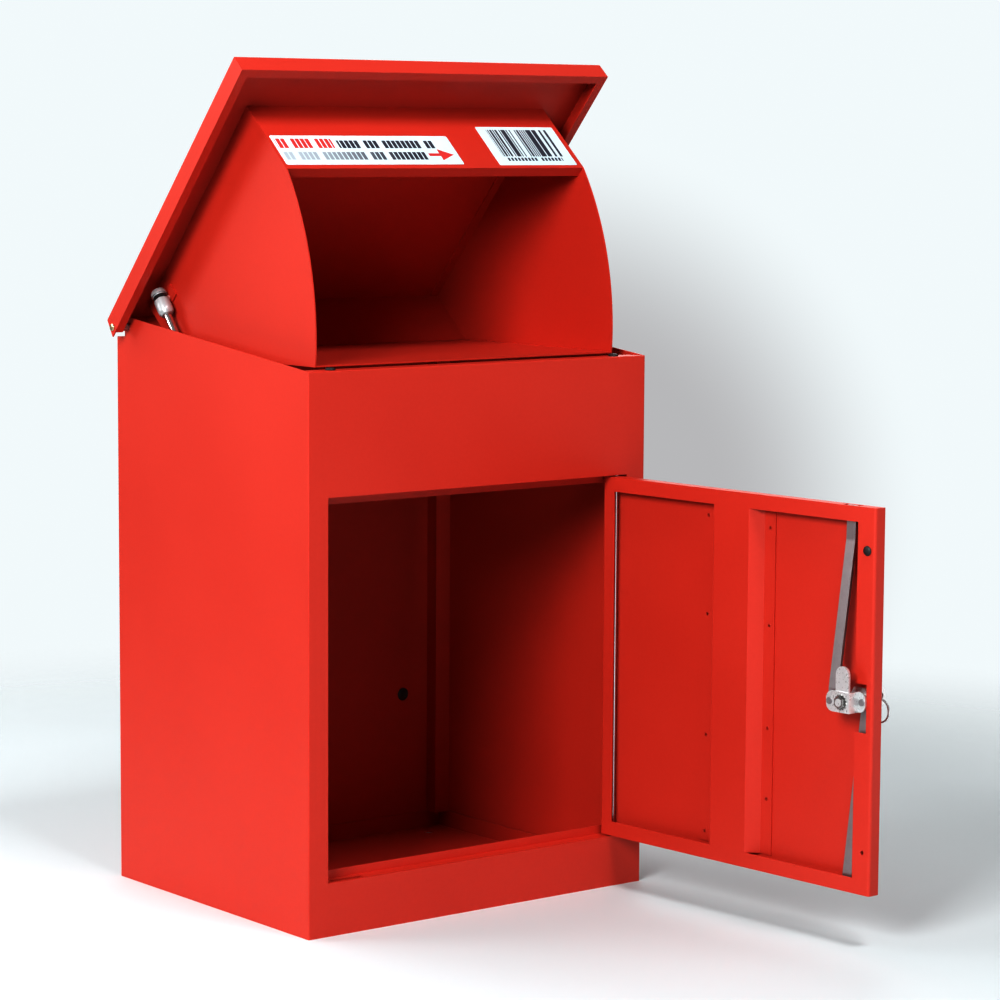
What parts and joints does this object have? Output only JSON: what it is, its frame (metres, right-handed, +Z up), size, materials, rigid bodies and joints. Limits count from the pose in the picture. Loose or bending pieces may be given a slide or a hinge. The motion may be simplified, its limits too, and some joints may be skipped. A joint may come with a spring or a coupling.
{
  "type": "parcel mailbox",
  "caption": "Floor-standing steel parcel box: a lifting lid with a drop chute and gas strut, and a locking front door with a key lock, tongue and lock rods.",
  "frame": {"origin": "Middle of the footprint, on the ground", "axes": "+X to the right seen from the front, +Y to the back, +Z up"},
  "size_m": [0.4866, 0.7345, 0.8855],
  "materials": {
    "red_powder_coat": "satin powder coat",
    "zinc_plated_steel": "bright zinc plate",
    "black_rubber": "matt rubber",
    "black_painted_steel": "satin black paint",
    "chrome_steel": "polished chrome",
    "black_plastic": "matt moulded"
  },
  "bodies": {
    "cabinet": {"body_wrap": "red_powder_coat", "front_panel": "red_powder_coat", "floor_pan": "red_powder_coat", "rear_corner_post_left": "red_powder_coat", "rear_corner_post_right": "red_powder_coat", "lid_stops": "black_rubber", "lid_hinge_pins": "zinc_plated_steel", "lid_hinge_spacers": "zinc_plated_steel", "lid_hinge_nuts": "zinc_plated_steel", "strut_lower_stud": "zinc_plated_steel", "door_hinge_rod": "zinc_plated_steel"},
    "lid": {"lid_pan": "red_powder_coat", "chute_cheek_left": "red_powder_coat", "chute_cheek_right": "red_powder_coat", "chute_tray": "red_powder_coat", "header_panel": "red_powder_coat", "strut_ball_plate": "red_powder_coat", "strut_ball_stud": "zinc_plated_steel"},
    "strut_upper": {"strut_rod": "chrome_steel", "strut_piston": "zinc_plated_steel", "strut_socket": "zinc_plated_steel"},
    "strut_lower": {"strut_cylinder": "black_painted_steel", "strut_gland": "black_plastic", "strut_eye": "zinc_plated_steel"},
    "door": {"door_pan": "red_powder_coat", "door_stiffener": "red_powder_coat", "door_buffer": "black_rubber", "lock_barrel": "zinc_plated_steel", "lock_nut": "zinc_plated_steel"},
    "lock": {"lock_plug": "zinc_plated_steel", "lock_tongue": "zinc_plated_steel", "rod_cam": "zinc_plated_steel", "cam_nut": "zinc_plated_steel", "cam_rivets": "zinc_plated_steel", "lock_key": "zinc_plated_steel", "key_ring": "zinc_plated_steel"},
    "upper_rod": {"lock_rod_upper": "zinc_plated_steel"},
    "lower_rod": {"lock_rod_lower": "zinc_plated_steel"}
  },
  "joints": [
    {"name": "lid_hinge", "type": "hinge", "parent": "cabinet", "child": "lid", "pos_m": [0, 0.158, 0.603], "axis": [1, 0, 0], "range_deg": [0, 54.7]},
    {"name": "strut_pivot", "type": "hinge", "parent": "lid", "child": "strut_upper", "pos_m": [-0.2065, 0.1131, 0.6353], "axis": [1, 0, 0], "range_deg": [-62.5, 0]},
    {"name": "strut_slide", "type": "slide", "parent": "strut_upper", "child": "strut_lower", "axis": [0, 0.6293, 0.7771], "range_m": [0, 0.041]},
    {"name": "door_hinge", "type": "hinge", "parent": "cabinet", "child": "door", "pos_m": [0.185, -0.17525, 0.2515], "axis": [0, 0, 1], "range_deg": [-93.5, 25]},
    {"name": "lock_turn", "type": "hinge", "parent": "door", "child": "lock", "pos_m": [0.20652, -0.52709, 0.2515], "axis": [0.9981, 0.061, 0], "range_deg": [0, 90]},
    {"name": "upper_rod_pivot", "type": "hinge", "parent": "lock", "child": "upper_rod", "pos_m": [0.2056, -0.51212, 0.2515], "axis": [0.9981, 0.061, 0], "range_deg": [-95, 0]},
    {"name": "lower_rod_pivot", "type": "hinge", "parent": "lock", "child": "lower_rod", "pos_m": [0.20744, -0.54207, 0.2515], "axis": [0.9981, 0.061, 0], "range_deg": [-95, 0]}
  ],
  "couplings": [
    {"joint": "strut_pivot", "follows": "lid_hinge", "ratio": -1.1349},
    {"joint": "strut_slide", "follows": "lid_hinge", "m_per_rad": 0.04193},
    {"joint": "upper_rod_pivot", "follows": "lock_turn", "ratio": -1.0514},
    {"joint": "lower_rod_pivot", "follows": "lock_turn", "ratio": -1.0462}
  ]
}
